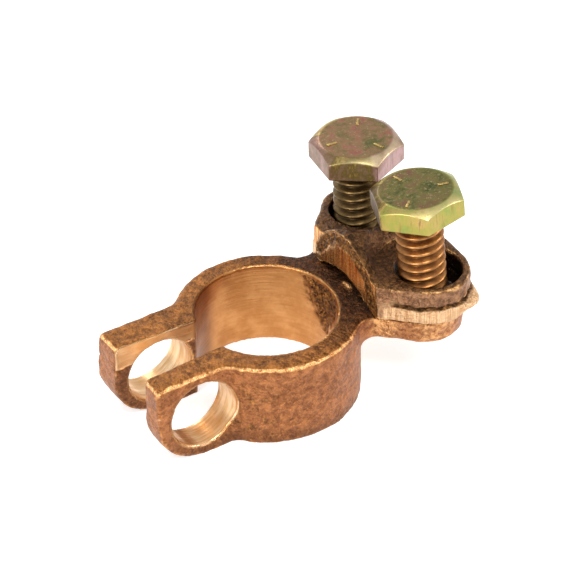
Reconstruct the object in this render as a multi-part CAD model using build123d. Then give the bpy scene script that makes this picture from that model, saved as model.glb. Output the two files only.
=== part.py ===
from build123d import *
import os
from math import cos, hypot, radians, sin, tan

# Battery terminal clamp: a cast brass post clamp whose shelf carries a loose cable
# saddle, drawn down by two hexagon bolts.  Millimetres, +Z up.  The origin is on the
# axis of the post bore, level with the underside.  -X is the split side with its two
# ears, +X is the cable side, and -Y is the front.

# ---- driving dimensions -------------------------------------------------------------

# post ring
bore_diameter = 18.5          # fits the taper of a battery post
ring_wall = 3.1               # measured at the underside
body_height = 12.2
ring_draft = 0.7              # degrees, the casting narrows towards its top
rim_round = 0.8               # worn outer edge of the top face

# ears on the split side
slot_width = 6.2              # where the slot leaves the bore
slot_flare = 1.5              # degrees that each ear stands open
front_ear_thickness = 3.6     # at the top of the ear
back_ear_thickness = 4.8
ear_draft = 4.5               # degrees on the outer faces
cross_bolt_diameter = 8.0     # the bolt that pulls the ears together
cross_bolt_clearance = 0.6    # all round that bolt
cross_hole_reach = 14.1       # from the bore axis
cross_hole_height = 6.1
ear_reach = 20.6              # from the bore axis to the end of the ears
ear_toe_radius = 6.0          # rounds the lower end of each ear
ear_root_round = 2.6

# cable shelf
shelf_thickness = 3.7
shelf_side_draft = 5.0        # degrees, narrowing downwards
shelf_reach = 18.4            # bore axis to the line of tapped holes
shelf_offset = -1.45          # the shelf was cast a little to the front
shelf_lobe_radius = 5.3       # round each tapped hole
shelf_neck_round = 2.2
shelf_edge_round = 0.6

# cable saddle
pad_thickness = 5.2
saddle_lobe_radius = 5.6
flash_height = 2.1            # ground band left by the parting line
flash_width = 0.15            # how far the band stands out of the wall above it
saddle_draft = 1.5            # degrees on the wall above the band
saddle_end_setback = 7.3      # hole line to the ground end face
saddle_end_skew = 3.0         # degrees, the end face was ground by hand
pad_edge_round = 0.5
cable_channel_radius = 4.6
hump_radius = 7.8             # outside curve of the hump over the channel
hump_valley_round = 1.2
head_seat_radius = 6.9        # flat under each bolt head, cut into the hump
head_seat_flare = 30.0        # degrees that the cut opens upwards
end_wall_thickness = 3.0      # closes the channel towards the post
relief_height = 1.9           # arch that lifts that wall clear of the shelf
relief_width = 12.8
saddle_slip_share = 0.5       # of its play, how far the loose saddle has slipped
saddle_slip_direction = -33.0  # degrees from +X

# saddle bolts
bolt_diameter = 6.3
bolt_pitch = 15.5             # between the two tapped holes
bolt_length = 16.0            # under the head
bolt_tip_chamfer = 0.7
thread_pitch = 1.27           # 20 threads to the inch
thread_depth = 0.75
thread_crest = 0.16           # flat left on top of each turn
neck_length = 1.2             # plain shank between the thread and the head
head_across_flats = 10.9
head_height = 3.25
head_top_diameter = 9.8       # flat circle inside the chamfer
head_chamfer_angle = 33.0     # degrees
thread_clearance = 0.1        # radial, between a bolt and its tapped hole
saddle_hole_play = 1.25       # radial, between a bolt and its hole in the saddle
front_standoff = 8.65         # how far each bolt is backed out above the saddle
back_standoff = 7.8
front_bolt_lean = 5.5         # degrees, the tapped holes were drilled out of square
back_bolt_lean = 1.5
lean_direction = 122.0        # degrees from +X
front_head_turn = 8.0         # degrees, where each hexagon stopped turning
back_head_turn = -38.0

# ---- derived sizes ------------------------------------------------------------------

bore_radius = bore_diameter / 2
ring_radius = bore_radius + ring_wall
ring_top_radius = ring_radius - body_height * tan(radians(ring_draft))
slot_half = slot_width / 2
cross_hole_radius = cross_bolt_diameter / 2 + cross_bolt_clearance
ear_end = -ear_reach
toe_centre = ear_end + ear_toe_radius
ear_foot_spread = body_height * tan(radians(ear_draft))
front_ear_face = -(slot_half + front_ear_thickness)
back_ear_face = slot_half + back_ear_thickness

neck_half_width = bore_radius / 2
shelf_floor = body_height - shelf_thickness
shelf_top = body_height
pad_top = shelf_top + pad_thickness
half_pitch = bolt_pitch / 2
bolt_radius = bolt_diameter / 2
tapped_radius = bolt_radius + thread_clearance
saddle_hole_radius = bolt_radius + saddle_hole_play
hump_crest = shelf_top + hump_radius
cut_margin = 1.0              # how far a cutting tool runs past what it cuts


def lean_vector(angle):
    """Unit vector of a line that leans by this angle from upright."""
    side = sin(radians(angle))
    heading = radians(lean_direction)
    return Vector(side * cos(heading), side * sin(heading), cos(radians(angle)))


def along(line_start, direction, height):
    """The point at which a leaning line reaches a height."""
    return line_start + direction * ((height - line_start.Z) / direction.Z)


front_axis = lean_vector(front_bolt_lean)
back_axis = lean_vector(back_bolt_lean)
front_hole = Vector(shelf_reach, shelf_offset - half_pitch, shelf_top)
back_hole = Vector(shelf_reach, shelf_offset + half_pitch, shelf_top)

# The loose saddle has slipped sideways on its bolts.
saddle_slip = Vector(saddle_slip_share * saddle_hole_play, 0).rotate(Axis.Z, saddle_slip_direction)
mid_pad = shelf_top + pad_thickness / 2
front_saddle_hole = along(front_hole, front_axis, mid_pad) + saddle_slip
back_saddle_hole = along(back_hole, back_axis, mid_pad) + saddle_slip
saddle_middle = (front_saddle_hole + back_saddle_hole) / 2
saddle_end = shelf_reach - saddle_end_setback
saddle_reach = 4 * saddle_end_setback        # longer than the saddle, for its cutting tools


# ---- helpers ------------------------------------------------------------------------

def upright_cylinder(centre_x, centre_y, radius, low, high):
    """Solid cylinder about a vertical line, between two heights."""
    disc = Plane.XY.offset(low) * Pos(centre_x, centre_y) * Circle(radius)
    return extrude(disc, amount=high - low)


def leaning_cylinder(start, direction, radius, below, above):
    """Solid cylinder about a leaning line, this far below and above its start."""
    plane = Plane(origin=start - direction * below, z_dir=direction)
    return extrude(plane * Circle(radius), amount=below + above)


def lobed_outline(front_centre, back_centre, radius):
    """Plan of the shelf or the saddle: a round lobe at each hole and a neck to the post.

    A 45 degree shoulder leads from each lobe to the neck.
    """
    reach = radius * sin(radians(45))
    front_shoulder = front_centre + Vector(-reach, -reach)
    back_shoulder = back_centre + Vector(-reach, reach)
    middle_y = (front_centre.Y + back_centre.Y) / 2
    front_run = middle_y - neck_half_width - front_shoulder.Y
    back_run = back_shoulder.Y - middle_y - neck_half_width
    front_neck = front_shoulder + Vector(-front_run, front_run)
    back_neck = back_shoulder + Vector(-back_run, -back_run)
    front_root = Vector(0, front_neck.Y)
    back_root = Vector(0, back_neck.Y)
    outline = Curve() + [
        Line(front_root, front_neck),
        Line(front_neck, front_shoulder),
        CenterArc(front_centre, radius, 225, 135),
        Line(front_centre + Vector(radius, 0), back_centre + Vector(radius, 0)),
        CenterArc(back_centre, radius, 0, 135),
        Line(back_shoulder, back_neck),
        Line(back_neck, back_root),
        Line(back_root, front_root),
    ]
    return make_face(outline.edges())


# ---- clamp body ---------------------------------------------------------------------

def ring_and_ears_outline(ring, spread):
    """Plan of the ring with both ears, at one height of the drafted casting."""
    ears = Polygon(
        (ear_end, front_ear_face - spread),
        (0, front_ear_face - spread),
        (0, back_ear_face + spread),
        (ear_end, back_ear_face + spread),
        align=None,
    )
    outline = Circle(ring) + ears
    roots = [v for v in outline.vertices() if ear_end + cut_margin < v.X < 0]
    return fillet(roots, ear_root_round)


def ear_toe_cut():
    """What is outside the half-round lower end of the ears."""
    depth = 4 * ring_radius
    corner = Polygon(
        (ear_end - cut_margin, -cut_margin),
        (toe_centre, -cut_margin),
        (toe_centre, ear_toe_radius),
        (ear_end - cut_margin, ear_toe_radius),
        align=None,
    )
    profile = corner - Pos(toe_centre, ear_toe_radius) * Circle(ear_toe_radius)
    return extrude(Plane.XZ * profile, amount=depth / 2, both=True)


def slot_cut():
    """The flared slot between the ears."""
    run = -ear_end + cut_margin
    opening = slot_half + run * tan(radians(slot_flare))
    plan = Polygon(
        (0, -slot_half),
        (-bore_radius, -slot_half),
        (-run, -opening),
        (-run, opening),
        (-bore_radius, slot_half),
        (0, slot_half),
        align=None,
    )
    height = body_height + 2 * cut_margin
    return extrude(Plane.XY.offset(-cut_margin) * plan, amount=height, dir=(0, 0, 1))


def cable_shelf():
    """Lobed shelf, drafted and rounded along its lower edge."""
    plan = lobed_outline(
        Vector(front_hole.X, front_hole.Y),
        Vector(back_hole.X, back_hole.Y),
        shelf_lobe_radius,
    )
    shelf = extrude(
        Plane.XY.offset(shelf_top) * plan,
        amount=-shelf_thickness,
        taper=shelf_side_draft,
    )
    low_edges = shelf.faces().sort_by(Axis.Z)[0].edges()
    return fillet(low_edges, min(shelf_edge_round, shelf_thickness / 3))


def clamp_body():
    """One brass casting: split ring, two ears and the cable shelf."""
    low = ring_and_ears_outline(ring_radius, ear_foot_spread)
    high = ring_and_ears_outline(ring_top_radius, 0)
    casting = loft([low.face(), Plane.XY.offset(body_height) * high.face()], ruled=True)
    casting -= ear_toe_cut()
    top_face = casting.faces().sort_by(Axis.Z)[-1]
    casting = fillet(top_face.edges(), min(rim_round, ring_wall / 3))
    casting += cable_shelf()
    casting = fillet(shelf_necks(casting), shelf_neck_round)
    casting -= upright_cylinder(0, 0, bore_radius, -cut_margin, body_height + cut_margin)
    casting -= slot_cut()
    hole = Plane.XZ * Pos(-cross_hole_reach, cross_hole_height) * Circle(cross_hole_radius)
    casting -= extrude(hole, amount=2 * ring_radius, both=True)
    for start, direction in ((front_hole, front_axis), (back_hole, back_axis)):
        depth = shelf_thickness / direction.Z + cut_margin
        casting -= leaning_cylinder(start, direction, tapped_radius, depth, cut_margin)
    return casting


def shelf_necks(casting):
    """The upright corners where the shelf's shoulders leave the ring."""
    mid_shelf = (shelf_floor + shelf_top) / 2
    corners = []
    for edge in casting.edges():
        middle = edge @ 0.5
        upright = abs((edge % 0.5).Z) > 0.7
        beside_ring = abs(hypot(middle.X, middle.Y) - ring_radius) < rim_round
        if upright and beside_ring and middle.X > 0 and abs(middle.Z - mid_shelf) < rim_round:
            corners.append(edge)
    return corners


# ---- cable saddle -------------------------------------------------------------------

def saddle_plan(radius):
    """Plan of the saddle with lobes of this radius, before its end is ground off."""
    return lobed_outline(
        Vector(front_saddle_hole.X, front_saddle_hole.Y),
        Vector(back_saddle_hole.X, back_saddle_hole.Y),
        radius,
    )


def saddle_section():
    """Cross-section of the saddle from pad to pad, with the hump over the channel."""
    span = bolt_pitch + 4 * saddle_lobe_radius
    pads = Pos(0, shelf_top + pad_thickness / 2) * Rectangle(span, pad_thickness)
    hump = Pos(0, shelf_top) * Circle(hump_radius)
    under_side = Pos(0, shelf_top - hump_radius) * Rectangle(span, 2 * hump_radius)
    section = pads + (hump - under_side)
    valleys = [v for v in section.vertices() if v.Y > shelf_top and abs(v.X) < hump_radius]
    return fillet(valleys, hump_valley_round)


def head_seat(hole):
    """Clearance for a bolt head where it comes down beside the hump."""
    depth = hump_crest - pad_top + cut_margin
    seat = Plane.XY.offset(pad_top) * Pos(hole.X, hole.Y) * Circle(head_seat_radius)
    return extrude(seat, amount=depth, taper=-head_seat_flare)


def end_grinding():
    """Everything beyond the end face that was ground flat, a little out of square."""
    face = Plane(origin=(saddle_end, shelf_offset, 0), z_dir=(-1, 0, 0)).rotated(
        (0, 0, -saddle_end_skew), ordering=Extrinsic.XYZ
    )
    wide = 8 * hump_radius
    return extrude(face * Rectangle(wide, wide), amount=saddle_reach)


def cable_channel():
    """Half-round channel for the cable, open at +X and closed by the end wall."""
    round_bar = Plane.YZ * Pos(saddle_middle.Y, shelf_top) * Circle(cable_channel_radius)
    return Pos(saddle_end + end_wall_thickness) * extrude(round_bar, amount=saddle_reach)


def end_wall_relief():
    """Low arch that lifts the end wall clear of the shelf."""
    arc_radius = ((relief_width / 2) ** 2 + relief_height**2) / (2 * relief_height)
    arc_centre = shelf_top + relief_height - arc_radius
    low_bar = Plane.YZ * Pos(saddle_middle.Y, arc_centre) * Circle(arc_radius)
    return extrude(low_bar, amount=saddle_end + end_wall_thickness)


def cable_saddle():
    """Loose cast saddle: two pads, an arched cable channel and a ground end face."""
    floor = Plane.XY.offset(shelf_top)
    band = extrude(floor * saddle_plan(saddle_lobe_radius + flash_width), amount=flash_height)
    height = hump_crest - shelf_top + cut_margin
    walls = extrude(floor * saddle_plan(saddle_lobe_radius), amount=height, taper=saddle_draft)
    section = Plane.YZ * Pos(saddle_middle.Y) * saddle_section()
    ridge = Pos(saddle_end - end_wall_thickness / 2) * extrude(section, amount=saddle_reach)
    casting = ridge & walls
    rim = [
        edge
        for edge in casting.edges()
        if edge.center().Z > pad_top - pad_edge_round / 4 and abs((edge % 0.5).X) < 0.99
    ]
    casting = fillet(rim, pad_edge_round) + band
    casting -= end_grinding()
    casting -= cable_channel()
    casting -= end_wall_relief()
    for hole in (front_saddle_hole, back_saddle_hole):
        casting -= head_seat(hole)
        casting -= upright_cylinder(hole.X, hole.Y, saddle_hole_radius, 0, 2 * pad_top)
    return casting


# ---- saddle bolts -------------------------------------------------------------------

def thread_groove():
    """Helical groove that leaves the thread standing, from below the tip up into the neck."""
    depth = thread_depth * 1.05
    mouth_half = (thread_pitch - thread_crest) / 2 * 1.05
    rise = bolt_length + thread_pitch / 2 - neck_length / 2
    path = Helix(pitch=thread_pitch, height=rise, radius=bolt_radius - thread_depth)
    section = make_face(Polyline((0, 0), (depth, -mouth_half), (depth, mouth_half), close=True))
    section = Plane(origin=path @ 0, x_dir=(1, 0, 0), z_dir=path % 0) * section
    return Pos(0, 0, -bolt_length - thread_pitch / 2) * sweep(section, path=path, is_frenet=True)


def threaded_shank():
    """Shank from the tip to the head, with a plain neck as wide as the middle of the thread."""
    base = (Align.CENTER, Align.CENTER, Align.MIN)
    shank = Pos(0, 0, -bolt_length) * Cylinder(bolt_radius, bolt_length, align=base)
    shank = chamfer(shank.edges().sort_by(Axis.Z)[0], bolt_tip_chamfer)
    shank -= thread_groove()
    neck_radius = bolt_radius - thread_depth / 2
    collar = Cylinder(bolt_radius + thread_depth, neck_length, align=base)
    collar -= Cylinder(neck_radius, neck_length, align=base)
    return shank - Pos(0, 0, -neck_length) * collar


def saddle_bolt(hole, direction, standoff, head_turn):
    """Hexagon bolt backed out of its tapped hole."""
    corner_radius = head_across_flats / 2 / cos(radians(30))
    slope = tan(radians(head_chamfer_angle))
    cone_height = head_height + head_top_diameter / 2 * slope
    base = (Align.CENTER, Align.CENTER, Align.MIN)
    head = extrude(RegularPolygon(corner_radius, 6), amount=head_height)
    head &= Cone(cone_height / slope, 0, cone_height, align=base)
    seat = along(hole, direction, pad_top) + direction * standoff
    turn = Vector(1, 0).rotate(Axis.Z, head_turn)
    return Plane(origin=seat, x_dir=turn, z_dir=direction) * (head + threaded_shank())


# ---- run ----------------------------------------------------------------------------

os.makedirs("parts", exist_ok=True)
pieces = {
    "clamp_body": clamp_body(),
    "cable_saddle": cable_saddle(),
    "saddle_bolt_front": saddle_bolt(front_hole, front_axis, front_standoff, front_head_turn),
    "saddle_bolt_back": saddle_bolt(back_hole, back_axis, back_standoff, back_head_turn),
}
for node, solid in pieces.items():
    export_step(solid, f"parts/{node}.step")
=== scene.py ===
"""Looks of a cast brass battery terminal clamp, its cable saddle and its two hexagon bolts."""

from __future__ import annotations

import logging
import math
from dataclasses import dataclass
from enum import Enum
from typing import Callable

import bmesh
import bpy
import numpy as np
from mathutils import Matrix, Vector, noise


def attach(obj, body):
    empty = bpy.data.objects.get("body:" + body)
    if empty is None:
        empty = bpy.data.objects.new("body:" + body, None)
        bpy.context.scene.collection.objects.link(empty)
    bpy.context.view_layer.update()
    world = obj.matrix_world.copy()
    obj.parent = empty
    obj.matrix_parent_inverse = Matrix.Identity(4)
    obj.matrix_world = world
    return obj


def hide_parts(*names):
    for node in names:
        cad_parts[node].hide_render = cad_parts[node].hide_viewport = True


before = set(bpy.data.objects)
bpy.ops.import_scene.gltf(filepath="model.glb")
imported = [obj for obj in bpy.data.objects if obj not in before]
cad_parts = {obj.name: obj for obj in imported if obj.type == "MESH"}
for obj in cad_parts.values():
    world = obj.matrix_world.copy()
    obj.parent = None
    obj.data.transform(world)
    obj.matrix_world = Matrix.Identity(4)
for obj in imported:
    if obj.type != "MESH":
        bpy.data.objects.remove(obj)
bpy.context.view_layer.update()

LOG = logging.getLogger("terminal_clamp")
MM = 0.001
WELD = 2e-6
Form = Callable[[float], tuple[float, float]]


class Zone(str, Enum):
    """Painted fields of a piece, each kept as a point attribute from 0 to 1."""

    # Upward faces, painted darker as shade and darker reflection.
    TOP = "zone_top"
    # Worn edges; on the bolts also a painted highlight on the side facing the front.
    WORN = "zone_worn"
    CUT = "zone_cut"
    # Pits, cavity and crack on the cast pieces; on the bolts, painted shade in the thread roots.
    PIT = "zone_pit"
    # Painted shade on the cast pieces: tops by the saddle, the slot, undersides and lower parts; on
    # the bolts it marks the thread.
    SOOT = "zone_soot"
    FILM = "zone_film"
    CROWN = "zone_crown"
    # Painted shade: darker reflection in the bore, black bolt holes and the crack's shadow.
    DUSK = "zone_dusk"
    # Paler colour: ground band and scrapes on the saddle; on the body, machined walls with a
    # painted highlight.
    PALE = "zone_pale"


class Lamp(Enum):
    """Soft boxes of the studio: place in metres, side in metres and power in watts."""

    LEFT = (Vector((-0.42, -0.12, 0.24)), 0.13, 1.0)
    RIGHT = (Vector((0.42, -0.24, 0.26)), 0.15, 0.8)
    OVERHEAD = (Vector((-0.08, -0.26, 0.44)), 0.13, 1.1)
    BACK = (Vector((0.05, 0.45, 0.30)), 0.20, 0.7)


# ---- numbers on points ----------------------------------------------------------------


def rise(value: np.ndarray, low: float, high: float) -> np.ndarray:
    """Smooth step from 0 at low to 1 at high.

    Args:
        value: Numbers to read the step at.
        low: Where the step starts.
        high: Where the step ends; below low, the step runs downwards.

    Returns:
        The step, from 0 to 1.
    """
    share = np.clip((value - low) / (high - low), 0, 1)
    return share * share * (3 - 2 * share)


def hill(value: np.ndarray, centre: float, reach: float) -> np.ndarray:
    """Smooth hill of height 1 at centre that ends a reach away on each side."""
    return 1 - rise(np.abs(value - centre), 0, reach)


def colour(code: str) -> tuple[float, float, float, float]:
    """Linear colour of a six-digit screen colour.

    Args:
        code: Red, green and blue as hexadecimal pairs.

    Returns:
        Linear red, green and blue, and an alpha of 1.
    """
    parts = [int(code[i : i + 2], 16) / 255 for i in (0, 2, 4)]
    linear = [c / 12.92 if c <= 0.04045 else ((c + 0.055) / 1.055) ** 2.4 for c in parts]
    return (*linear, 1.0)


# ---- shader maths -----------------------------------------------------------------------


class Signal:
    """Output socket of a shader node, on which arithmetic adds Math nodes."""

    def __init__(self, graph: "Graph", socket: bpy.types.NodeSocket) -> None:
        """Keeps the socket and the graph that it belongs to."""
        self.graph = graph
        self.socket = socket

    def _maths(self, operation: str, *terms: "Signal | float") -> "Signal":
        """Adds one Math node over the terms."""
        return self.graph.add("ShaderNodeMath", {"operation": operation}, dict(enumerate(terms)))

    def __add__(self, other: "Signal | float") -> "Signal":
        """Sum."""
        return self._maths("ADD", self, other)

    __radd__ = __add__

    def __sub__(self, other: "Signal | float") -> "Signal":
        """Difference."""
        return self._maths("SUBTRACT", self, other)

    def __rsub__(self, other: float) -> "Signal":
        """Difference from a number."""
        return self._maths("SUBTRACT", other, self)

    def __mul__(self, other: "Signal | float") -> "Signal":
        """Product."""
        return self._maths("MULTIPLY", self, other)

    __rmul__ = __mul__

    def peak(self, other: "Signal | float") -> "Signal":
        """Larger of two signals."""
        return self._maths("MAXIMUM", self, other)

    def rise(self, low: float, high: float) -> "Signal":
        """Smooth step from 0 at low to 1 at high.

        Args:
            low: Where the step starts.
            high: Where the step ends.

        Returns:
            The step as a signal.
        """
        return self.graph.add(
            "ShaderNodeMapRange",
            {"interpolation_type": "SMOOTHSTEP"},
            {"Value": self, "From Min": low, "From Max": high, "To Min": 0.0, "To Max": 1.0},
        )


class Graph:
    """Node tree of one material or world, filled through Python expressions."""

    def __init__(
        self,
        owner: bpy.types.Material | bpy.types.World,
        shader: str = "ShaderNodeBsdfPrincipled",
        output: str = "ShaderNodeOutputMaterial",
    ) -> None:
        """Empties the tree and gives it a shader and an output.

        Args:
            owner: Material or world that the tree belongs to.
            shader: Type of the shader node.
            output: Type of the output node.
        """
        owner.use_nodes = True
        self.owner = owner
        self.tree = owner.node_tree
        self.tree.nodes.clear()
        self.shader = self.node(shader, {}, {})
        self.node(output, {}, {0: Signal(self, self.shader.outputs[0])})

    def node(self, kind: str, settings: dict, inputs: dict) -> bpy.types.Node:
        """Adds a node.

        Args:
            kind: Node type.
            settings: Properties of the node, and "stops" for a colour ramp.
            inputs: Values or signals of its sockets, by index or name.

        Returns:
            The node.
        """
        node = self.tree.nodes.new(kind)
        for key, value in settings.items():
            if key == "stops":
                self._fill_ramp(node.color_ramp, value)
            else:
                setattr(node, key, value)
        for key, value in inputs.items():
            self.feed(node.inputs[key], value)
        return node

    def add(self, kind: str, settings: dict, inputs: dict, output: int | str = 0) -> Signal:
        """Adds a node as node() does, and returns one of its outputs."""
        return Signal(self, self.node(kind, settings, inputs).outputs[output])

    @staticmethod
    def _fill_ramp(ramp: bpy.types.ColorRamp, stops: list[tuple[float, str]]) -> None:
        """Gives a ramp its stops.

        Args:
            ramp: Ramp of a colour ramp node.
            stops: Places from 0 to 1 and their screen colours.
        """
        while len(ramp.elements) < len(stops):
            ramp.elements.new(1.0)
        for element, (place, code) in zip(ramp.elements, stops):
            element.position = place
            element.color = colour(code)

    def feed(self, socket: bpy.types.NodeSocket, value: Signal | float | tuple) -> None:
        """Links a signal to a socket, or sets its value.

        Args:
            socket: Input socket of a node.
            value: Signal to link, or constant to set.
        """
        if isinstance(value, Signal):
            self.tree.links.new(value.socket, socket)
        else:
            socket.default_value = value

    def zone(self, zone: Zone) -> Signal:
        """Painted field of the piece."""
        return self.add("ShaderNodeAttribute", {"attribute_name": zone.value}, {}, "Fac")

    def place(self, stretch: tuple[float, float, float] = (1, 1, 1)) -> Signal:
        """Object coordinates in millimetres, stretched along the axes.

        Args:
            stretch: Factor along each axis.

        Returns:
            The coordinates as a signal.
        """
        where = self.add("ShaderNodeTexCoord", {}, {}, "Object")
        scale = tuple(s / MM for s in stretch)
        return self.add("ShaderNodeVectorMath", {"operation": "MULTIPLY"}, {0: where, 1: scale})

    def grain(
        self, where: Signal, size: float, detail: float = 4, rough: float = 0.6, swirl: float = 0
    ) -> Signal:
        """Noise whose largest features have this size in millimetres."""
        sockets = {"Vector": where, "Scale": 1 / size, "Detail": detail, "Roughness": rough}
        return self.add("ShaderNodeTexNoise", {}, {**sockets, "Distortion": swirl}, "Fac")

    def ramp(self, value: Signal, stops: list[tuple[float, str]]) -> Signal:
        """Colour ramp over a signal."""
        return self.add("ShaderNodeValToRGB", {"stops": stops}, {0: value})

    def blend(self, share: Signal | float, a: Signal | tuple, b: Signal | tuple) -> Signal:
        """Colour that goes from a to b."""
        return self.add("ShaderNodeMix", {"data_type": "RGBA"}, {0: share, 6: a, 7: b}, 2)

    def relief(self, height: Signal, depth: float) -> Signal:
        """Normal of a surface whose height signal stands for this depth in millimetres."""
        return self.add("ShaderNodeBump", {}, {"Height": height, "Distance": depth * MM})

    def seen(self) -> Signal:
        """Tells what the camera sees, straight or in metal and glass, from other light.

        Returns:
            1 for a ray that shows in the picture, and 0 for one that only lights.
        """
        kinds = ("Is Camera Ray", "Is Glossy Ray", "Is Transmission Ray")
        camera, glossy, through = [self.add("ShaderNodeLightPath", {}, {}, kind) for kind in kinds]
        return camera.peak(glossy).peak(through)

    def finish(self, **sockets: Signal | float | tuple) -> bpy.types.Material | bpy.types.World:
        """Feeds the shader's sockets.

        Args:
            **sockets: Signal or constant of each socket, named with underscores for spaces.

        Returns:
            The material or world that is now complete.
        """
        for key, value in sockets.items():
            self.feed(self.shader.inputs[key.replace("_", " ")], value)
        return self.owner


# ---- finishes ----------------------------------------------------------------------------


@dataclass(frozen=True)
class CastBrass:
    """Tarnished sand-cast brass with worn edges and bright machined faces.

    Each pair of colours is the dark and the light of one kind of surface. The top and shade colours
    are painted shade and darker reflection.
    """

    name: str
    wall: tuple[str, str] = ("6b3c20", "be7d4d")
    # Colours of upward faces: a painted darker reflection.
    top: tuple[str, str] = ("452610", "be7c40")
    # Colours of the painted shade.
    soot: tuple[str, str] = ("2f1b0d", "875430")
    worn: tuple[str, str] = ("9a5c2a", "fbc080")
    cut: tuple[str, str] = ("b07842", "d6a066")
    pit: tuple[str, str] = ("32190b", "c68a48")
    pale: tuple[str, str] = ("cd9c64", "f8d8ae")
    # Colour of the painted shade.
    dusk: str = "6d3c1c"
    line_share: float = 0.2
    cut_range: float = 0.8
    roughness: float = 0.24
    metallic: float = 0.9
    relief: float = 0.27
    tool_stretch: tuple[float, float, float] = (0.25, 0.25, 3.0)
    pale_stretch: tuple[float, float, float] = (0.25, 2.2, 0.25)

    def build(self) -> bpy.types.Material:
        """Builds the material.

        Returns:
            A material that reads the piece's painted zones.
        """
        graph = Graph(bpy.data.materials.new(self.name))
        where = graph.place()
        clouds = graph.grain(where, 3.2, 6, 0.6).rise(0.36, 0.66)
        sand = graph.grain(where, 0.75, 5, 0.75)
        fine = graph.grain(where, 0.34, 3, 0.7)
        broad = graph.grain(where, 1.5, 4, 0.65).rise(0.38, 0.62)
        mottle = clouds * 0.15 + broad * 0.22
        mottle = mottle + sand.rise(0.36, 0.66) * 0.33 + fine.rise(0.34, 0.66) * 0.30
        wall = self._pair(graph, mottle, self.wall)
        wall = graph.blend(fine.rise(0.62, 0.72) * 0.5, wall, colour(self.pit[0]))
        top = self._pair(graph, mottle, self.top)
        # Mottled colour of the painted shade.
        shade_mottle = sand.rise(0.46, 0.70) * 0.5 + fine.rise(0.50, 0.72) * 0.6
        soot = self._pair(graph, shade_mottle, self.soot)
        # Upward faces get the darker top colours, a painted shade.
        cast = graph.blend(graph.zone(Zone.TOP), wall, top)
        cast = graph.blend(graph.zone(Zone.SOOT), cast, soot)
        wear_and_highlight_share = (graph.zone(Zone.WORN) * (0.50 + sand)).rise(0.20, 0.78)
        cast = graph.blend(wear_and_highlight_share, cast, self._pair(graph, sand.rise(0.3, 0.62), self.worn))
        lines = graph.grain(graph.place(self.tool_stretch), 1.0, 3, 0.55).rise(0.28, 0.72)
        cut = graph.zone(Zone.CUT)
        sheen = lines * self.line_share + clouds * (self.cut_range - self.line_share)
        base = graph.blend(cut, cast, self._pair(graph, sheen, self.cut))
        rings = graph.grain(graph.place(self.pale_stretch), 1.0, 3, 0.55).rise(0.28, 0.72)
        base = graph.blend(graph.zone(Zone.PALE), base, self._pair(graph, rings, self.pale))
        pit = graph.zone(Zone.PIT)
        flecks = sand.rise(0.44, 0.66) * 0.5 + fine.rise(0.42, 0.66) * 0.5
        base = graph.blend(pit, base, self._pair(graph, flecks, self.pit))
        # Painted shade over everything else.
        base = graph.blend(graph.zone(Zone.DUSK), base, colour(self.dusk))
        coarse = (1 - cut).peak(pit)
        height = (broad * 0.5 + sand * 0.8 + fine * 0.35) * coarse + lines * cut * 0.06
        rough = self.roughness + coarse * 0.12 - wear_and_highlight_share * 0.14 + sand * 0.10
        return graph.finish(
            Base_Color=base,
            Roughness=rough,
            Metallic=self.metallic,
            Normal=graph.relief(height, self.relief),
        )

    @staticmethod
    def _pair(graph: Graph, share: Signal, pair: tuple[str, str]) -> Signal:
        """Blend between the dark and the light colour of a pair."""
        return graph.blend(share, colour(pair[0]), colour(pair[1]))


@dataclass(frozen=True)
class YellowZinc:
    """Yellow chromate over zinc, whose film thickness gives its colours."""

    name: str
    thread: tuple[str, str]
    top: tuple[str, str, str]
    rim: str = "cfc08c"
    groove: str = "4c4524"
    # Colour of the painted shade in the thread roots.
    root: str = "241408"
    film: tuple[str, ...] = ("6f9048", "9c944a", "b3965a", "5a4b23", "86685a", "a98885")
    metallic: float = 0.92
    relief: float = 0.04

    def build(self) -> bpy.types.Material:
        """Builds the material.

        Returns:
            A material that reads the film and crown zones of a bolt and the zone that marks its
            thread.
        """
        graph = Graph(bpy.data.materials.new(self.name))
        where = graph.place()
        clouds = graph.grain(where, 2.4, 5, 0.6)
        mottle = graph.grain(where, 0.8, 5, 0.65)
        fine = graph.grain(where, 0.14, 3, 0.6)
        stops = [(i / (len(self.film) - 1), code) for i, code in enumerate(self.film)]
        drawn = graph.grain(graph.place((1, 1, 0.1)), 0.36, 3, 0.6)
        side = graph.ramp(graph.zone(Zone.FILM) + (clouds - 0.5) * 0.9 + (drawn - 0.5) * 0.3, stops)
        side = graph.blend(drawn.rise(0.52, 0.72) * 0.45, side, colour(self.groove))
        dirt, mid, warm = self.top
        stains = graph.grain(where, 2.6, 8, 0.72, 0.7)
        crown = graph.ramp(stains, [(0.36, dirt), (0.51, mid), (0.64, warm)])
        crown = graph.blend(mottle.rise(0.46, 0.70) * 0.55, crown, colour(self.groove))
        specks = graph.grain(where, 0.4, 4, 0.75)
        crown = graph.blend(specks.rise(0.52, 0.74) * 0.42, crown, colour(self.rim))
        base = graph.blend(graph.zone(Zone.CROWN), side, crown)
        warm_side = clouds * 0.5 + mottle.rise(0.3, 0.7) * 0.3
        thread = graph.blend(warm_side, colour(self.thread[0]), colour(self.thread[1]))
        # Thread colours, in the zone that holds painted shade on the brass pieces.
        base = graph.blend(graph.zone(Zone.SOOT), base, thread)
        # Pale worn edges, brighter on one side of the head as a painted highlight.
        wear_and_highlight_share = graph.zone(Zone.WORN) * (0.25 + clouds)
        base = graph.blend(wear_and_highlight_share.rise(0.1, 0.9), base, colour(self.rim))
        # Painted shade in the thread roots.
        base = graph.blend(graph.zone(Zone.PIT), base, colour(self.root))
        height = (fine * 0.4 + drawn * 0.35 + mottle * 0.25) * (1 - graph.zone(Zone.SOOT) * 0.75)
        return graph.finish(
            Base_Color=base,
            Roughness=0.26 + mottle * 0.16 + graph.zone(Zone.CROWN) * 0.12,
            Metallic=self.metallic,
            Normal=graph.relief(height, self.relief),
        )


# ---- castings ------------------------------------------------------------------------------


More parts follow.
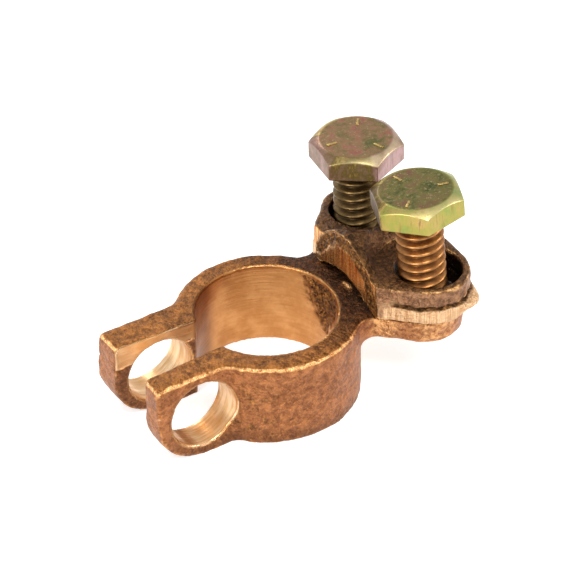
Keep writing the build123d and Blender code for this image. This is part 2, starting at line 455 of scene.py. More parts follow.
class Skin:
    """Even quad skin over a CAD solid, with its points in millimetres while it is worked."""

    def __init__(self, node: str, spacing: float) -> None:
        """Makes the skin.

        Args:
            node: CAD node to cover.
            spacing: Side of a quad in millimetres.
        """
        shell = bpy.data.meshes.new(node + "_shell")
        body = bmesh.new()
        body.from_mesh(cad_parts[node].data)
        bmesh.ops.remove_doubles(body, verts=body.verts, dist=WELD)
        bmesh.ops.scale(body, vec=(1 / MM,) * 3, verts=body.verts)
        body.to_mesh(shell)
        body.free()
        holder = bpy.data.objects.new(node + "_shell", shell)
        bpy.context.scene.collection.objects.link(holder)
        even = holder.modifiers.new("even", "REMESH")
        even.mode = "VOXEL"
        even.voxel_size = spacing
        depsgraph = bpy.context.evaluated_depsgraph_get()
        settled = bpy.data.meshes.new_from_object(holder.evaluated_get(depsgraph))
        bpy.data.objects.remove(holder)
        self.body = bmesh.new()
        self.body.from_mesh(settled)
        bpy.data.meshes.remove(settled)
        self.body.verts.ensure_lookup_table()
        self.edges = np.array([[v.index for v in e.verts] for e in self.body.edges])
        self.refresh()

    def refresh(self) -> None:
        """Reads the points and normals again after the skin has moved."""
        self.body.normal_update()
        self.points = np.array([v.co for v in self.body.verts])
        self.normals = np.array([v.normal for v in self.body.verts])

    def smooth(self, where: np.ndarray, rounds: int) -> None:
        """Smooths the points at which where is over a half.

        Args:
            where: One share per point.
            rounds: How many times they are smoothed.
        """
        chosen = [v for v, share in zip(self.body.verts, where) if share > 0.5]
        for _ in range(rounds):
            bmesh.ops.smooth_vert(
                self.body, verts=chosen, factor=0.5,
                use_axis_x=True, use_axis_y=True, use_axis_z=True,
            )
        self.refresh()

    def move(self, offsets: np.ndarray) -> None:
        """Moves every point.

        Args:
            offsets: One offset per point, in millimetres.
        """
        for vertex, offset in zip(self.body.verts, offsets):
            vertex.co += Vector(offset)
        self.refresh()

    def flatten(self, floor: float) -> None:
        """Brings what lies below a level up to it.

        Args:
            floor: Level in millimetres.
        """
        for vertex in self.body.verts:
            vertex.co.z = max(vertex.co.z, floor)
        self.refresh()

    def spread(self, field: np.ndarray, rounds: int) -> np.ndarray:
        """Averages a field with its neighbours.

        Args:
            field: One number per point.
            rounds: How many times it is averaged.

        Returns:
            The blurred field.
        """
        a, b = self.edges.T
        count = np.bincount(self.edges.ravel(), minlength=len(field)) + 1
        for _ in range(rounds):
            total = field.copy()
            np.add.at(total, a, field[b])
            np.add.at(total, b, field[a])
            field = total / count
        return field

    def convexity(self, rounds: int) -> np.ndarray:
        """How far each point stands out of its neighbourhood, in millimetres."""
        mean = np.stack([self.spread(self.points[:, i].copy(), rounds) for i in range(3)], axis=1)
        return np.einsum("ij,ij->i", self.points - mean, self.normals)

    def grain(self, size: float, seed: float) -> np.ndarray:
        """Noise from -1 to 1 with features of this size in millimetres."""
        shift = Vector((seed * 7.3, seed * 3.1, seed * 5.7))
        return np.array([noise.noise(Vector(p) / size + shift) for p in self.points])

    def paint(self, zone: Zone, amount: np.ndarray) -> None:
        """Keeps a field as a painted zone.

        Args:
            zone: Zone to paint.
            amount: One share per point, which is clipped to 0 to 1.
        """
        layer = self.body.verts.layers.float.new(zone.value)
        for vertex, share in zip(self.body.verts, np.clip(amount, 0, 1)):
            vertex[layer] = float(share)

    def to_piece(self, name: str) -> bpy.types.Object:
        """Turns the skin into a shaded object in metres."""
        bmesh.ops.scale(self.body, vec=(MM,) * 3, verts=self.body.verts)
        return solid_object(name, self.body)


def solid_object(name: str, body: bmesh.types.BMesh) -> bpy.types.Object:
    """Makes a smooth-shaded object from a finished mesh and frees the mesh.

    Args:
        name: Name of the object and its mesh.
        body: Finished mesh.

    Returns:
        The object, linked to the scene.
    """
    for face in body.faces:
        face.smooth = True
    mesh = bpy.data.meshes.new(name)
    body.to_mesh(mesh)
    body.free()
    piece = bpy.data.objects.new(name, mesh)
    bpy.context.scene.collection.objects.link(piece)
    return piece


def seat_piece(
    piece: bpy.types.Object, node: str, body: str, finish: bpy.types.Material
) -> None:
    """Dresses a piece and puts it in the place of its CAD node.

    Args:
        piece: Finished piece.
        node: CAD node that it stands for.
        body: CAD body that it rides on.
        finish: Material that it gets.
    """
    piece.data.materials.clear()
    piece.data.materials.append(finish)
    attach(piece, body)
    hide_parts(node)
    LOG.info("%s: %d faces on %s", piece.name, len(piece.data.polygons), body)


@dataclass
class ClampBody:
    """Split ring, two ears and the cable shelf, cast in one."""

    node: str = "clamp_body"
    body: str = "clamp"
    slot: str = "cast_brass"
    spacing: float = 0.2
    bore_radius: float = 9.25
    height: float = 12.2
    slot_half_width: float = 3.1
    cross_hole: tuple[float, float] = (-14.1, 6.1)
    cross_hole_radius: float = 4.6
    casting_wave: float = 0.10
    ear_smooth_depth: float = 4.0
    cavity_top: float = 12.0
    cavity_depth: float = 8.0
    cavity_half_angle: float = 30.0
    lump_place: tuple[float, float] = (11.5, -1.6)
    lump_size: tuple[float, float, float] = (0.6, 1.5, 1.0)
    lump_height: float = 0.45
    blister_place: tuple[float, float, float] = (-8.0, -9.0, 5.0)

    def build(self) -> bpy.types.Object:
        """Builds the casting with its cavity, lumps and worn edges.

        Returns:
            The finished piece.
        """
        skin = Skin(self.node, self.spacing)
        everywhere = np.ones(len(skin.points))
        skin.smooth(everywhere, 2)
        cut = self._machined(skin)
        skin.smooth(1 - cut, 6)
        corners = (skin.convexity(8) > 0.04) * (1 - cut)
        skin.smooth(corners * (skin.points[:, 2] > self.height - self.ear_smooth_depth), 14)
        waves = skin.grain(2.6, 1) + 0.8 * skin.grain(1.2, 2) + 0.35 * skin.grain(0.6, 3)
        edge = rise(skin.convexity(4), 0.02, 0.08)
        amount = self.casting_wave * waves * (0.8 + 0.9 * edge) * (1 - cut)
        skin.move(skin.normals * amount[:, None])
        cavity = self._cavity(skin)
        rough = 0.30 + 0.28 * skin.grain(0.8, 5) + 0.22 * skin.grain(0.42, 6)
        skin.move(-skin.normals * (cavity * rough)[:, None])
        lump = self._lump(skin)
        skin.move(skin.normals * (self.lump_height * lump)[:, None])
        skin.flatten(0)
        self._paint(skin, cut, cavity, lump)
        return skin.to_piece("clamp_body_cast")

    def dress(self, piece: bpy.types.Object) -> None:
        """Gives the casting its brass."""
        seat_piece(piece, self.node, self.body, CastBrass("cast_brass").build())

    def _machined(self, skin: Skin) -> np.ndarray:
        """Bore, cross hole and the upper part of the ears' inner faces.

        Args:
            skin: Skin of the casting.

        Returns:
            One share per point, from 0 to 1.
        """
        x, y, z = skin.points.T
        ragged = 0.35 * skin.grain(1.6, 8) + 0.15 * skin.grain(0.6, 9)
        bore = rise(np.hypot(x, y), self.bore_radius + 0.32, self.bore_radius + 0.16)
        drop = np.hypot(x - self.cross_hole[0], z - self.cross_hole[1])
        hole = rise(drop, self.cross_hole_radius + 0.32, self.cross_hole_radius + 0.16)
        inner = rise(np.abs(y), self.slot_half_width + 0.75, self.slot_half_width + 0.55)
        inner *= rise(np.abs(skin.normals[:, 1]), 0.6, 0.8) * rise(x, -7, -8)
        line = 8.7 + 0.06 * (x + 20) + ragged
        ears = inner * rise(z - line, -0.15, 0.15)
        return np.clip(np.maximum.reduce([bore, hole, ears]), 0, 1)

    def _cavity(self, skin: Skin) -> np.ndarray:
        """Shrinkage cavity in the bore wall on the cable side.

        Args:
            skin: Skin of the casting.

        Returns:
            One share per point, from 0 to 1.
        """
        x, y, z = skin.points.T
        turn = np.degrees(np.arctan2(y, x))
        depth = (self.cavity_top - z) / self.cavity_depth
        width = self.cavity_half_angle * np.clip(1 - depth, 0, 1) ** 0.6
        ragged = 7 * skin.grain(1.5, 11) + 6 * skin.grain(0.5, 12)
        across = rise(np.abs(turn - 3.5 + 2 * depth) + ragged, width, width - 13)
        wall = rise(np.hypot(x, y), self.bore_radius + 0.75, self.bore_radius + 0.35)
        return across * wall * rise(z, self.cavity_top, 11.2) * (x > 0) * (depth < 1)

    def _lump(self, skin: Skin) -> np.ndarray:
        """Lump of spilt metal on the shelf under the saddle's arch.

        Args:
            skin: Skin of the casting.

        Returns:
            One share per point, from 0 to 1.
        """
        centre = np.array((*self.lump_place, self.height))
        away = (skin.points - centre) / np.array(self.lump_size)
        return rise(np.linalg.norm(away, axis=1), 1.0, 0.2) * 0.8

    def _paint(self, skin: Skin, cut: np.ndarray, cavity: np.ndarray, lump: np.ndarray) -> None:
        """Paints the zones that the brass reads.

        Args:
            skin: Skin of the casting.
            cut: Share of the machined faces.
            cavity: Share of the shrinkage cavity.
            lump: Share of the lump.
        """
        x, y, z = skin.points.T
        up = rise(skin.normals[:, 2], 0.35, 0.8) * rise(z, self.height - 1.2, self.height - 0.5)
        convex = skin.spread(rise(skin.convexity(10), 0.03, 0.15), 3) * 0.7
        slope = hill(skin.normals[:, 2], 0.56, 0.32) * rise(z, self.height - 1.7, self.height - 1.1)
        rim = slope * (1.0 + 0.25 * skin.grain(1.3, 17)) * rise(np.hypot(x, y), 9.9, 10.4)
        near_bore = rise(np.hypot(x, y), 10.3, 9.7)
        convex = np.maximum(convex * (1 - 0.55 * near_bore), skin.spread(rim, 1))
        clouds = skin.grain(3.0, 15)
        cable_side = rise(x + 2.5 * clouds, -1.0, 10.5)
        # Darker towards the bottom.
        low = rise(z + 0.8 * clouds, 3.2, 0.0) * 0.35 + rise(z + x / 4 + clouds, 3.0, -2.0) * 0.2
        slot_side = (np.abs(y) < 4.0) & (x < -8.5)
        # Painted shade in the slot below the machined faces.
        under = slot_side * rise(z, 9.3, 8.3) * (1 - cut) * 0.55
        # Painted shade on tops towards the cable side and by the saddle, in the slot, and darker
        # towards the bottom.
        soot = np.maximum.reduce([up * cable_side * 0.95, low * (1 - cut), under])
        turn = np.degrees(np.arctan2(y, x))
        bore = rise(np.hypot(x, y), self.bore_radius + 0.5, self.bore_radius + 0.2)
        # Painted darker reflection on the bore wall by the slot.
        painted_bore_shade = bore * rise(turn, 102, 119) * (0.72 + 0.2 * skin.grain(1.8, 16))
        flat_side = rise(np.abs(skin.normals[:, 1]), 0.7, 0.9)
        # Paler cross-hole walls, less on the ears' inner faces: partly machined brass, partly a
        # painted highlight.
        bright = cut * (1 - bore) * (1 - cavity)
        bright = bright * (0.82 - 0.42 * flat_side + 0.3 * skin.grain(1.5, 18))
        # Upward faces painted darker as shade.
        skin.paint(Zone.TOP, up)
        # Painted shade, kept off the convex edges and the lump.
        skin.paint(Zone.SOOT, soot * (1 - convex) * (1 - lump))
        # Shelf walls painted lighter with the worn colour.
        shelf_walls_lighter = rise(x, 7.5, 12.0) * (1 - up) * (1 - cut) * (0.46 + 0.25 * clouds)
        shelf_walls_lighter = shelf_walls_lighter * rise(x, 23.5, 18.5)
        worn = np.maximum(convex * (1 - 0.6 * cable_side * up), shelf_walls_lighter)
        skin.paint(Zone.WORN, np.maximum(worn, lump))
        skin.paint(Zone.CUT, cut * (1 - cavity))
        root = np.linalg.norm(skin.points - np.array(self.blister_place), axis=1)
        blisters = rise(root, 6.0, 2.5) * rise(skin.grain(1.1, 19), 0.02, 0.4)
        blisters = blisters * (1 - cut) * (1 - up)
        skin.paint(Zone.PIT, np.maximum(cavity * 0.9, blisters * 0.6))
        # Paints the darker reflection in the bore.
        skin.paint(Zone.DUSK, painted_bore_shade * cut)
        # Paler machined walls with a painted highlight.
        skin.paint(Zone.PALE, bright)


@dataclass
class CableSaddle:
    """Loose saddle over the cable channel, with its end ground flat."""

    node: str = "cable_saddle"
    body: str = "saddle"
    slot: str = "saddle_brass"
    spacing: float = 0.16
    floor: float = 12.2
    pad_top: float = 17.4
    band_height: float = 2.1
    end_face: float = 11.1
    end_skew: float = 3.0
    end_centre: float = -1.45
    arch_centre: float = -1.65
    hump_radius: float = 7.8
    front_lobe: tuple[float, float] = (18.79, -9.33)
    burr_reach: float = 1.05
    holes: tuple[tuple[float, float], ...] = ((18.79, -9.33), (18.89, 6.02))
    hole_radius: float = 4.4
    seat_reach: float = 8.4
    casting_wave: float = 0.12
    seat_drop: float = 0.03
    channel_side: float = 6.5
    far_end: float = 23.0

    def build(self) -> bpy.types.Object:
        """Builds the saddle with its burr, parting crack and ground faces.

        Returns:
            The finished piece.
        """
        skin = Skin(self.node, self.spacing)
        skin.smooth(np.ones(len(skin.points)), 2)
        ground = self._ground_end(skin)
        skin.smooth(1 - ground, 6)
        band = self._band(skin)
        waves = skin.grain(2.2, 21) + 0.7 * skin.grain(1.0, 22) + 0.35 * skin.grain(0.5, 23)
        amount = self.casting_wave * waves * (1 - ground) * (1 - 0.7 * band)
        lowered = np.minimum(amount, 0) * 0.6 - self.seat_drop
        amount = np.where(self._head_seats(skin), lowered, amount)
        skin.move(skin.normals * amount[:, None])
        crack = self._crack(skin)
        rough = 0.26 + 0.2 * skin.grain(0.5, 24) + 0.3 * self._burr_side(skin)
        skin.move(-skin.normals * (crack * rough)[:, None])
        skin.move(self._burr(skin))
        rim = self._pitted_rim(skin)
        pits = rim * (0.22 + 0.25 * skin.grain(0.5, 27))
        skin.move(-skin.normals * pits[:, None])
        self._paint(skin, ground, band, crack, rim)
        return skin.to_piece("cable_saddle_cast")

    def dress(self, piece: bpy.types.Object) -> None:
        """Gives the saddle its darker brass, with painted shade on its tops, undersides and holes,
        scratched upright where it was ground.

        Args:
            piece: Finished saddle.
        """
        brass = CastBrass(
            "saddle_brass",
            wall=("4a2e1c", "b58560"),
            # Near-black tops of the saddle: painted darker reflection and shade.
            top=("160c06", "9e6e42"),
            # Colours of the saddle's painted shade.
            soot=("130b06", "6b462a"),
            worn=("a06a36", "f2bc7c"),
            cut=("a0561c", "ffcc80"),
            pale=("b98a5c", "e6bf94"),
            roughness=0.22,
            # Near-black painted shade in the bolt holes and the crack.
            dusk="0e0906",
            tool_stretch=(4.0, 4.0, 0.2),
            pale_stretch=(4.0, 4.0, 0.2),
            line_share=0.75,
        )
        seat_piece(piece, self.node, self.body, brass.build())

    def _end_distance(self, skin: Skin) -> np.ndarray:
        """How far each point lies behind the ground end face.

        Args:
            skin: Skin of the casting.

        Returns:
            One distance per point, in millimetres.
        """
        x, y, _ = skin.points.T
        skew = math.radians(self.end_skew)
        return (x - self.end_face) * math.cos(skew) - (y - self.end_centre) * math.sin(skew)

    def _ground_end(self, skin: Skin) -> np.ndarray:
        """The ground end face, inside the ragged edge of the casting."""
        facing = rise(-skin.normals[:, 0], 0.75, 0.9)
        return rise(self._end_distance(skin), 0.3, 0.12) * facing

    def _pitted_rim(self, skin: Skin) -> np.ndarray:
        """Pitted strip between the ground end face and the hump's edge.

        Args:
            skin: Skin of the casting.

        Returns:
            One share per point, from 0 to 1.
        """
        _, y, z = skin.points.T
        out = np.hypot(y - self.arch_centre, z - self.floor)
        inner = self.hump_radius - 1.9 + 0.45 * skin.grain(1.2, 25)
        strip = rise(out, inner - 0.2, inner + 0.15)
        strip = strip * rise(out, self.hump_radius - 0.1, self.hump_radius - 0.5)
        return strip * self._ground_end(skin) * (z > self.floor + 1.2)

    def _band(self, skin: Skin) -> np.ndarray:
        """Ground band along the foot of the outer walls.

        Args:
            skin: Skin of the casting.

        Returns:
            One share per point, from 0 to 1.
        """
        x, y, z = skin.points.T
        top = self.floor + self.band_height + 0.25 * skin.grain(1.4, 26)
        outside = (np.abs(skin.normals[:, 2]) < 0.6) & (x > self.end_face + 0.25)
        return rise(z - top, 0.1, -0.1) * outside * self._open_side(x, y)

    def _open_side(self, x: np.ndarray, y: np.ndarray) -> np.ndarray:
        """Whether each point lies beside the cable channel or past the holes."""
        return (np.abs(y - self.arch_centre) > self.channel_side) | (x > self.far_end)

    def _crack(self, skin: Skin) -> np.ndarray:
        """Ragged parting crack just above the band.

        Args:
            skin: Skin of the casting.

        Returns:
            One share per point, from 0 to 1.
        """
        x, y, z = skin.points.T
        line = self.floor + self.band_height + 0.3 + 0.35 * skin.grain(1.8, 28)
        outside = np.abs(skin.normals[:, 2]) < 0.6
        outside = outside * rise(x, self.end_face + 0.4, self.end_face + 2.2)
        open_side = self._open_side(x, y)
        width = 0.34 + 0.12 * skin.grain(1.0, 33)
        return rise(np.abs(z - line), width, width - 0.28) * outside * open_side

    def _head_seats(self, skin: Skin) -> np.ndarray:
        """Whether each point lies where a bolt head comes down.

        Args:
            skin: Skin of the casting.

        Returns:
            One truth value per point.
        """
        x, y, z = skin.points.T
        front, back = [np.hypot(x - u, y - v) < self.seat_reach for u, v in self.holes]
        return (front | back) & (z > self.pad_top - 0.3)

    def _painted_hole_shade(self, skin: Skin) -> np.ndarray:
        """Walls of the two bolt holes, painted black below their mouths as shade.

        Args:
            skin: Skin of the casting.

        Returns:
            One share per point, from 0 to 1.
        """
        x, y, z = skin.points.T
        inside = np.zeros(len(x))
        for hole_x, hole_y in self.holes:
            away = np.hypot(x - hole_x, y - hole_y)
            wall = rise(away, self.hole_radius + 0.35, self.hole_radius + 0.15)
            inside = np.maximum(inside, wall)
        return inside * rise(z, self.pad_top - 0.1, self.pad_top - 0.9) * 0.92

    def _burr_side(self, skin: Skin) -> np.ndarray:
        """Share of the burr at each point's angle round the front lobe.

        Args:
            skin: Skin of the casting.

        Returns:
            One share per point, from 0 to 1.
        """
        x, y, _ = skin.points.T
        turn = np.degrees(np.arctan2(y - self.front_lobe[1], x - self.front_lobe[0]))
        return hill(turn, -52, 36)

    def _burr(self, skin: Skin) -> np.ndarray:
        """Rolled burr that stands out of the band at the front corner.

        Args:
            skin: Skin of the casting.

        Returns:
            One offset per point, in millimetres.
        """
        x, y, z = skin.points.T
        dx, dy = x - self.front_lobe[0], y - self.front_lobe[1]
        out = np.hypot(dx, dy)
        ragged = 0.18 * skin.grain(1.2, 29)
        share = self._burr_side(skin) * rise(np.abs(z - self.floor - 1.3), 0.85, 0.2)
        share = share * rise(out, 5.1, 5.6)
        lift = (share * (self.burr_reach + ragged))[:, None]
        return lift * np.stack([dx / out, dy / out, np.zeros(len(out))], axis=1)

    def _paint(
        self, skin: Skin, ground: np.ndarray, band: np.ndarray, crack: np.ndarray, rim: np.ndarray
    ) -> None:
        """Paints the zones that the brass reads.

        Args:
            skin: Skin of the casting.
            ground: Share of the ground end face.
            band: Share of the ground band.
            crack: Share of the parting crack.
            rim: Share of the pitted rim.
        """
        x, y, z = skin.points.T
        up = rise(skin.normals[:, 2], 0.3, 0.75) * (z > self.floor + 1)
        convex = skin.spread(rise(skin.convexity(9), 0.02, 0.12), 2)
        channel = (np.abs(y - self.arch_centre) < 4.4) & (z < 16.5) & (x > 14.2)
        # Downward faces and the channel under the arch, where shade falls.
        painted_shade_below = (skin.normals[:, 2] < -0.4) | channel
        # Upward faces painted darker as shade.
        skin.paint(Zone.TOP, up)
        # Painted shade: lightly on tops, more on downward faces and in the channel.
        skin.paint(Zone.SOOT, np.maximum(up * 0.35, painted_shade_below * 0.7) * (1 - convex))
        slope = hill(skin.normals[:, 2], 0.6, 0.4) * rise(z, self.pad_top - 1.2, self.pad_top - 0.6)
        slope = slope * rise(z, self.pad_top + 0.35, self.pad_top + 0.1)
        lips = skin.spread(slope * (x > 15) * (0.66 + 0.4 * skin.grain(1.2, 31)), 1)
        skin.paint(Zone.WORN, np.maximum(convex * (1 - 0.35 * up), lips))
        scraped = rise(skin.grain(2.4, 30), 0.05, 0.5) * rise(z, 16.9, 16.2)
        scraped = scraped * (np.abs(skin.normals[:, 2]) < 0.5)
        skin.paint(Zone.CUT, ground * (1 - rim))
        skin.paint(Zone.PALE, np.maximum(band * (1 - crack), scraped * (1 - ground) * 0.45))
        skin.paint(Zone.PIT, np.maximum(crack * 0.95, rim))
        shadow = crack * (0.55 + 0.5 * skin.grain(0.7, 32))
        # Painted shade inside the bolt holes and in the crack.
        skin.paint(Zone.DUSK, np.maximum(self._painted_hole_shade(skin), shadow))


# ---- bolts -----------------------------------------------------------------------------------


@dataclass
class HexBolt:
    """Fully threaded hexagon bolt, leaning as its tapped hole leans."""

    node: str
    body: str
    hole: tuple[float, float, float]
    lean: float
    standoff: float
    head_turn: float
    films: tuple[float, ...]
    finish: YellowZinc
    slot: str = "yellow_zinc"
    lean_direction: float = 122.0
    # Angle of the side whose chamfer is painted paler as a highlight.
    highlight_side: float = 280.0
    pad_top: float = 17.4
    crest_radius: float = 3.15
    thread_depth: float = 0.75
    neck_length: float = 1.2
    pitch: float = 1.27
    length: float = 16.0
    across_flats: float = 10.9
    head_height: float = 3.25
    top_radius: float = 4.9
    chamfer_angle: float = 33.0
    tip_chamfer: float = 0.7
    turn_steps: int = 60
    flat_steps: int = 10
    thread_marks: tuple[tuple[float, float], ...] = (
        (0.0, 0.0), (0.07, 0.02), (0.18, 0.28), (0.32, 0.64), (0.45, 0.96), (0.5, 1.0)
    )
    shank_top: float = 0.6
    root_shade: float = 0.75
    edge_bevel: float = 0.11
    sharp_angle: float = 18.0
    dash_turns: tuple[float, ...] = (90, 210, 330)
    dash_size: tuple[float, float, float] = (1.5, 0.34, 0.22)
    dash_radius: float = 3.5
    dash_film: float = 0.42

    def build(self) -> bpy.types.Object:
        """Builds the head and the threaded shank in their place.

        Returns:
            The finished piece.
        """
        body = bmesh.new()
        for zone in (Zone.FILM, Zone.CROWN, Zone.SOOT, Zone.WORN, Zone.PIT):
            body.verts.layers.float.new(zone.value)
        self._shank(body)
        self._head(body)
        self._grade_marks(body)
        bmesh.ops.transform(body, matrix=self._place(), verts=body.verts)
        return solid_object(self.node + "_plated", body)

    def dress(self, piece: bpy.types.Object) -> None:
        """Gives the bolt its plating."""
        seat_piece(piece, self.node, self.body, self.finish.build())

    def _place(self) -> Matrix:
        """Finds the bolt's place.

        Returns:
            Matrix from the bolt's own millimetres to its seat in the frame.
        """
        lean, heading = math.radians(self.lean), math.radians(self.lean_direction)
        level = Vector((math.cos(heading), math.sin(heading), 0))
        axis = Vector((math.sin(lean) * level.x, math.sin(lean) * level.y, math.cos(lean)))
        seat = Vector(self.hole) + axis * ((self.pad_top - self.hole[2]) / axis.z + self.standoff)
        turn = math.radians(self.head_turn)
        across = Vector((math.cos(turn), math.sin(turn), 0))
        across = (across - axis * across.dot(axis)).normalized()
        basis = Matrix((across, axis.cross(across), axis)).transposed().to_4x4()
        return Matrix.Scale(MM, 4) @ Matrix.Translation(seat) @ basis

    def _shank(self, body: bmesh.types.BMesh) -> None:
        """Spins one line of thread flanks round the axis with the thread's rise.

        Args:
            body: Mesh of the bolt.
        """
        marks = self.thread_marks
        marks += tuple((1 - share, depth) for share, depth in marks[4:0:-1])
        low = -self.length - 2 * self.pitch
        line = []
        for turn in range(int(self.length / self.pitch) + 5):
            for share, depth in marks:
                radius = self.crest_radius - self.thread_depth * depth
                line.append(body.verts.new((radius, 0, low + self.pitch * (turn + share))))
        edges = [body.edges.new(pair) for pair in zip(line, line[1:])]
        bmesh.ops.spin(
            body, geom=line + edges, cent=(0, 0, 0), axis=(0, 0, 1),
            dvec=(0, 0, self.pitch / self.turn_steps),
            angle=2 * math.pi, steps=self.turn_steps,
            space=Matrix.Identity(4), use_duplicate=False,
        )
        bmesh.ops.remove_doubles(body, verts=body.verts, dist=0.004)
        self._trim(body, -self.length, -1)
        self._trim(body, self.shank_top, 1)
        soot = body.verts.layers.float[Zone.SOOT.value]
        root = body.verts.layers.float[Zone.PIT.value]
        for vertex in body.verts:
            radius = math.hypot(vertex.co.x, vertex.co.y)
            limit = self.crest_radius - self.tip_chamfer + (vertex.co.z + self.length)
            above = np.array(vertex.co.z + self.neck_length)
            neck = float(rise(above, -0.2, 0.3))
            wanted = min(radius, max(limit, 0.5))
            wanted += (self.crest_radius - self.thread_depth / 2 - wanted) * neck
            if radius > 0.5:
                vertex.co.x *= wanted / radius
                vertex.co.y *= wanted / radius
            # Marks the thread in the zone that holds painted shade on the brass pieces.
            vertex[soot] = 1.0
            depth = (self.crest_radius - radius) / self.thread_depth
            # Painted shade, deeper towards the thread roots.
            vertex[root] = self.root_shade * (1 - neck) * depth
        bmesh.ops.holes_fill(body, edges=body.edges, sides=0)
        bmesh.ops.recalc_face_normals(body, faces=body.faces)

    @staticmethod
    def _trim(body: bmesh.types.BMesh, height: float, side: int) -> None:
        """Cuts the mesh level at a height and drops what is beyond it.

        Args:
            body: Mesh to cut.
            height: Height of the cut in millimetres.
            side: 1 to drop what is above, -1 to drop what is below.
        """
        bmesh.ops.bisect_plane(
            body, geom=body.verts[:] + body.edges[:] + body.faces[:], dist=1e-5,
            plane_co=(0, 0, height), plane_no=(0, 0, side), clear_outer=True,
        )

    def _head(self, body: bmesh.types.BMesh) -> None:
        """Draws the head up from its underside, ring by ring, and bevels its edges.

        Args:
            body: Mesh of the bolt.
        """
        segments = 6 * self.flat_steps
        slope = math.tan(math.radians(self.chamfer_angle))
        made = bmesh.ops.create_circle(body, cap_ends=False, segments=segments, radius=1.0)
        ring = made["verts"]

        def shoulder(turn: float) -> float:
            """Height at which the chamfer meets the flat at this angle."""
            return self.head_height - (self._hexagon(turn) - self.top_radius) * slope

        rings = [
            (lambda turn: (self.crest_radius - self.thread_depth, 0.0), 0.0, 0.0),
            (lambda turn: (self._hexagon(turn), 0.0), 0.4, 0.0),
            (lambda turn: (self._hexagon(turn), 0.22), 0.0, 0.0),
            (lambda turn: (self._hexagon(turn), shoulder(turn) - 0.22), 0.0, 0.0),
            (lambda turn: (self._hexagon(turn), shoulder(turn)), 0.8, 0.0),
            (lambda turn: (self.top_radius, self.head_height), 0.7, 0.2),
            (lambda turn: (self.top_radius - 0.35, self.head_height), 0.0, 1.0),
            (lambda turn: (self.top_radius * 0.5, self.head_height), 0.0, 1.0),
        ]
        self._shape(body, ring, *rings[0])
        rows = [ring]
        edges = list({e for v in ring for e in v.link_edges if e.other_vert(v) in ring})
        underside = list(edges)
        for form in rings[1:]:
            grown = bmesh.ops.extrude_edge_only(body, edges=edges)["geom"]
            ring = [g for g in grown if isinstance(g, bmesh.types.BMVert)]
            members = set(ring)
            drawn = [g for g in grown if isinstance(g, bmesh.types.BMEdge)]
            edges = [e for e in drawn if set(e.verts) <= members]
            self._shape(body, ring, *form)
            rows.append(ring)
        bmesh.ops.contextual_create(body, geom=edges)
        bmesh.ops.contextual_create(body, geom=underside)
        faces = list({f for row in rows for v in row for f in v.link_faces})
        bmesh.ops.recalc_face_normals(body, faces=faces)
        limit = math.radians(self.sharp_angle)
        sharp = [
            e
            for e in {e for f in faces for e in f.edges}
            if len(e.link_faces) == 2 and e.calc_face_angle(0) > limit
        ]
        sharp = [
            e for e in sharp if min(v.co.xy.length for v in e.verts) > self.crest_radius
        ]
        bmesh.ops.bevel(
            body, geom=sharp, offset=self.edge_bevel, offset_type="OFFSET", segments=2,
            profile=0.5, affect="EDGES", material=-1, clamp_overlap=True,
        )

    def _hexagon(self, turn: float) -> float:
        """Radius of the hexagon at an angle, with a corner at 0."""
        part = turn % math.radians(60) - math.radians(30)
        return self.across_flats / 2 / math.cos(part)

    def _shape(
        self,
        body: bmesh.types.BMesh,
        ring: list[bmesh.types.BMVert],
        form: Form,
        worn: float,
        crown: float,
    ) -> None:
        """Gives the points of a ring their place and paint.

        Args:
            body: Mesh of the bolt.
            ring: Points of the ring.
            form: Radius and height at an angle.
            worn: How pale the plating is there.
            crown: Share of the top's colours.
        """
        layers = body.verts.layers.float
        for vertex in ring:
            turn = math.atan2(vertex.co.y, vertex.co.x)
            radius, height = form(turn)
            vertex.co = Vector((radius * math.cos(turn), radius * math.sin(turn), height))
            vertex[layers[Zone.FILM.value]] = self.films[int(math.degrees(turn) % 360 // 60)]
            # Paler towards one side of the head: a painted highlight over the worn edges.
            highlight_share = 0.36 + 0.46 * math.cos(turn + math.radians(self.head_turn - self.highlight_side))
            vertex[layers[Zone.WORN.value]] = worn * highlight_share
            vertex[layers[Zone.CROWN.value]] = crown

    def _grade_marks(self, body: bmesh.types.BMesh) -> None:
        """Raises three plain radial dashes on the top of the head.

        Args:
            body: Mesh of the bolt.
        """
        for turn in self.dash_turns:
            made = bmesh.ops.create_cube(body, size=1.0)["verts"]
            bmesh.ops.scale(body, vec=self.dash_size, verts=made)
            faces = list({f for v in made for f in v.link_faces})
            bmesh.ops.translate(body, vec=(self.dash_radius, 0, self.head_height), verts=made)
            spun = Matrix.Rotation(math.radians(turn), 3, "Z")
            bmesh.ops.rotate(body, cent=(0, 0, 0), matrix=spun, verts=made)
            layer = body.verts.layers.float[Zone.FILM.value]
            for vertex in made:
                vertex[layer] = self.dash_film
            bmesh.ops.bevel(
                body, geom=list({e for f in faces for e in f.edges}),
                offset=0.07, offset_type="OFFSET",
                segments=2, profile=0.5, affect="EDGES", material=-1, clamp_overlap=True,
            )


# ---- studio --------------------------------------------------------------------------------


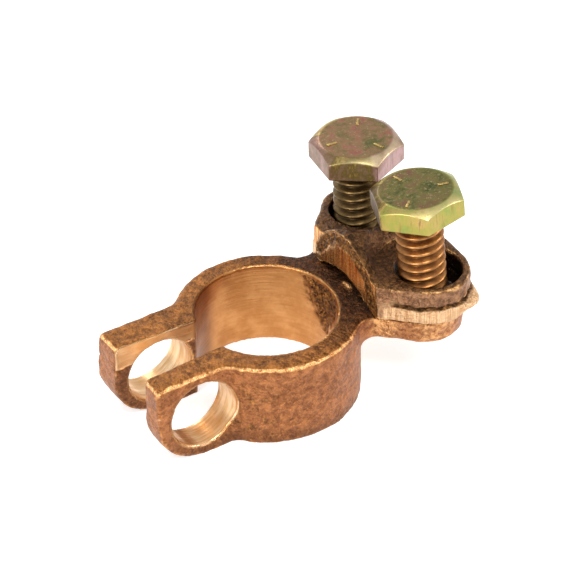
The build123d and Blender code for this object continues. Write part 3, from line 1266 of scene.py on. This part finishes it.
@dataclass
class Studio:
    """Pale floor, white surround, soft boxes and the camera."""

    azimuth: float = -33.06
    elevation: float = 37.94
    distance: float = 388.0
    aim_right: float = 2.761
    aim_up: float = 12.383
    lens: float = 184.3
    floor_size: float = 3.0
    ambient: float = 0.62
    white: tuple[float, float, float, float] = (1.0, 1.0, 1.0, 1.0)
    black: tuple[float, float, float, float] = (0.0, 0.0, 0.0, 1.0)
    floor_paint: tuple[float, float, float, float] = (0.9, 0.9, 0.9, 1.0)
    floor_roughness: float = 0.9
    floor_glow: float = 0.5
    sensor: float = 36.0
    near_clip: float = 0.01
    lamp_aim: tuple[float, float, float] = (0, 0, 0.01)

    def build(self) -> None:
        """Builds the surround, the floor, the lamps and the camera."""
        self._world()
        self._floor()
        for lamp in Lamp:
            self._soft_box(lamp)
        self._camera()

    def _world(self) -> None:
        """White to the camera and in reflections, a softer white as light."""
        world = bpy.data.worlds.new("surround")
        graph = Graph(world, "ShaderNodeBackground", "ShaderNodeOutputWorld")
        soft = (self.ambient, self.ambient, self.ambient, 1.0)
        graph.finish(Color=graph.blend(graph.seen(), soft, self.white), Strength=1.0)
        bpy.context.scene.world = world

    def _floor(self) -> None:
        """Plain pale floor that keeps the object's shadow."""
        body = bmesh.new()
        bmesh.ops.create_grid(body, x_segments=2, y_segments=2, size=self.floor_size / 2)
        floor = solid_object("floor", body)
        graph = Graph(bpy.data.materials.new("pale_floor"))
        glow = graph.blend(graph.seen(), self.black, self.white)
        paint = graph.finish(
            Base_Color=self.floor_paint,
            Roughness=self.floor_roughness,
            Emission_Color=glow,
            Emission_Strength=self.floor_glow,
        )
        floor.data.materials.append(paint)

    def _soft_box(self, lamp: Lamp) -> None:
        """Square lamp that faces the middle of the clamp.

        Args:
            lamp: Place, side and power of the lamp.
        """
        place, side, power = lamp.value
        light = bpy.data.lights.new("soft_box_" + lamp.name.lower(), "AREA")
        light.shape = "SQUARE"
        light.size = side
        light.energy = power
        holder = bpy.data.objects.new(light.name, light)
        holder.location = place
        facing = Vector(self.lamp_aim) - place
        holder.rotation_euler = facing.to_track_quat("-Z", "Y").to_euler()
        bpy.context.scene.collection.objects.link(holder)

    def _camera(self) -> None:
        """Long lens from the front left, above the clamp."""
        a, e = math.radians(self.azimuth), math.radians(self.elevation)
        back = Vector((math.sin(a) * math.cos(e), -math.cos(a) * math.cos(e), math.sin(e)))
        right = Vector((math.cos(a), math.sin(a), 0))
        up = back.cross(right)
        aim = (right * self.aim_right + up * self.aim_up) * MM
        camera = bpy.data.objects.new("camera", bpy.data.cameras.new("camera"))
        camera.data.lens = self.lens
        camera.data.sensor_width = self.sensor
        camera.data.clip_start = self.near_clip
        camera.location = aim + back * self.distance * MM
        camera.rotation_mode = "QUATERNION"
        camera.rotation_quaternion = (-back).to_track_quat("-Z", "Y")
        bpy.context.scene.collection.objects.link(camera)
        bpy.context.scene.camera = camera


def main() -> None:
    """Builds the studio and the four pieces."""
    logging.basicConfig(level=logging.INFO, format="%(name)s: %(message)s")
    bpy.context.scene.view_settings.view_transform = "Standard"
    Studio().build()
    front = HexBolt(
        node="saddle_bolt_front",
        body="bolt_front",
        hole=(18.4, -9.2, 12.2),
        lean=5.5,
        standoff=8.65,
        head_turn=8.0,
        films=(0.1, 0.3, 0.62, 0.27, 0.14, 0.12),
        finish=YellowZinc(
            "zinc_front", thread=("6a3812", "e0a060"), top=("333d14", "665f30", "6d4d36")
        ),
    )
    back = HexBolt(
        node="saddle_bolt_back",
        body="bolt_back",
        hole=(18.4, 6.3, 12.2),
        lean=1.5,
        standoff=7.8,
        head_turn=-38.0,
        films=(0.95, 0.5, 0.3, 0.76, 0.62, 0.95),
        finish=YellowZinc(
            "zinc_back", thread=("241b10", "9a7c4c"), top=("57562c", "86684a", "8c544a")
        ),
    )
    for part in (ClampBody(), CableSaddle(), front, back):
        part.dress(part.build())


if __name__ == "__main__":
    main()
